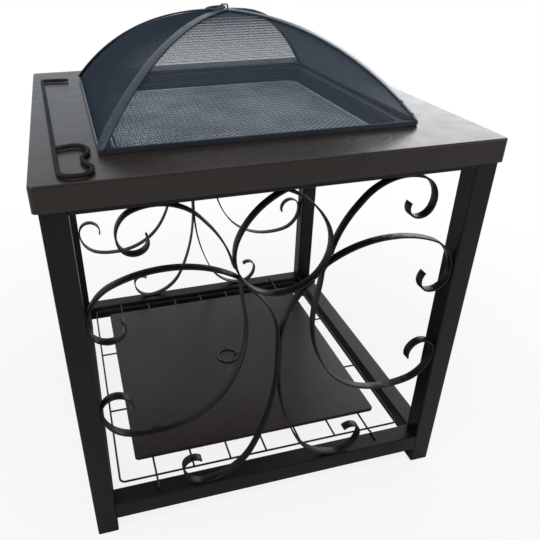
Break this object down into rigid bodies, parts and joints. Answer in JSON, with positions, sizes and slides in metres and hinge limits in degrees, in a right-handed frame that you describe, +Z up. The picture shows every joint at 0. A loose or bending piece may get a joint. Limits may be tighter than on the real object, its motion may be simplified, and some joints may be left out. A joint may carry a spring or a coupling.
{
  "type": "fire pit table",
  "caption": "Square steel fire pit table with bent-bar scroll panels, wire shelf with stored cover, lift-out fire bowl and grate, domed mesh spark screen with ring handle, and a loose poker.",
  "frame": {"origin": "on the floor, under the middle of the tabletop", "axes": "+Z up, the front scroll panel faces -Y, +X to the right seen from the front"},
  "size_m": [0.712, 0.712, 0.866],
  "materials": {
    "top_paint": "satin bronze brown",
    "frame_paint": "satin near black",
    "plastic_cap": "matte black",
    "wire_paint": "satin black",
    "bowl_paint": "matte heat paint",
    "grate_steel": "bare, dull",
    "screen_paint": "satin",
    "mesh_paint": "satin, fine mesh",
    "ring_steel": "dull",
    "poker_steel": "dull"
  },
  "bodies": {
    "table": {"c_scroll_front_left": "frame_paint", "c_scroll_front_right": "frame_paint", "c_scroll_rear_left": "frame_paint", "c_scroll_rear_right": "frame_paint", "corner_scroll_front_left": "frame_paint", "corner_scroll_front_right": "frame_paint", "corner_scroll_rear_left": "frame_paint", "corner_scroll_rear_right": "frame_paint", "foot_cap_front_left": "plastic_cap", "foot_cap_front_right": "plastic_cap", "foot_cap_rear_left": "plastic_cap", "foot_cap_rear_right": "plastic_cap", "foot_scroll_front_left": "frame_paint", "foot_scroll_front_right": "frame_paint", "foot_scroll_rear_left": "frame_paint", "foot_scroll_rear_right": "frame_paint", "leg_front_left": "frame_paint", "leg_front_right": "frame_paint", "leg_rear_left": "frame_paint", "leg_rear_right": "frame_paint", "rack_cross_wires": "wire_paint", "rack_hook_wire_left": "wire_paint", "rack_hook_wire_right": "wire_paint", "rack_long_wires": "wire_paint", "rack_rim": "wire_paint", "ring_front": "frame_paint", "ring_rear": "frame_paint", "stretcher_front": "frame_paint", "stretcher_left": "frame_paint", "stretcher_rear": "frame_paint", "stretcher_right": "frame_paint", "tabletop": "top_paint", "top_rail_front": "frame_paint", "top_rail_left": "frame_paint", "top_rail_rear": "frame_paint", "top_rail_right": "frame_paint"},
    "bowl": {"fire_bowl": "bowl_paint"},
    "grate": {"grate_rim": "grate_steel", "grate_sheet": "grate_steel"},
    "screen": {"screen_base": "screen_paint", "ridge_bar_whole": "screen_paint", "ridge_bar_front_right": "screen_paint", "ridge_bar_rear_left": "screen_paint", "mesh_panel_front": "mesh_paint", "mesh_panel_right": "mesh_paint", "mesh_panel_rear": "mesh_paint", "mesh_panel_left": "mesh_paint", "screen_saddle": "screen_paint"},
    "screen_handle": {"screen_ring": "ring_steel"},
    "cover": {"cover_panel": "top_paint", "cover_saddle": "ring_steel"},
    "cover_handle": {"cover_ring": "ring_steel"},
    "poker": {"poker": "poker_steel"}
  },
  "joints": [
    {"name": "bowl_lift", "type": "slide", "parent": "table", "child": "bowl", "axis": [0, 0, 1], "range_m": [0, 0.15]},
    {"name": "grate_lift", "type": "slide", "parent": "bowl", "child": "grate", "axis": [0, 0, 1], "range_m": [0, 0.045]},
    {"name": "screen_lift", "type": "slide", "parent": "bowl", "child": "screen", "axis": [0, 0, 1], "range_m": [0, 0.25]},
    {"name": "screen_ring_swing", "type": "hinge", "parent": "screen", "child": "screen_handle", "pos_m": [0, 0, 0.861], "axis": [0, 1, 0], "range_deg": [0, 190]},
    {"name": "cover_lift", "type": "slide", "parent": "table", "child": "cover", "axis": [0, 0, 1], "range_m": [0, 0.2]},
    {"name": "cover_ring_swing", "type": "hinge", "parent": "cover", "child": "cover_handle", "pos_m": [0.026, 0, 0.0813], "axis": [0, 1, 0], "range_deg": [0, 180]},
    {"name": "poker_lift", "type": "slide", "parent": "table", "child": "poker", "axis": [0, 0, 1], "range_m": [0, 0.2]}
  ]
}
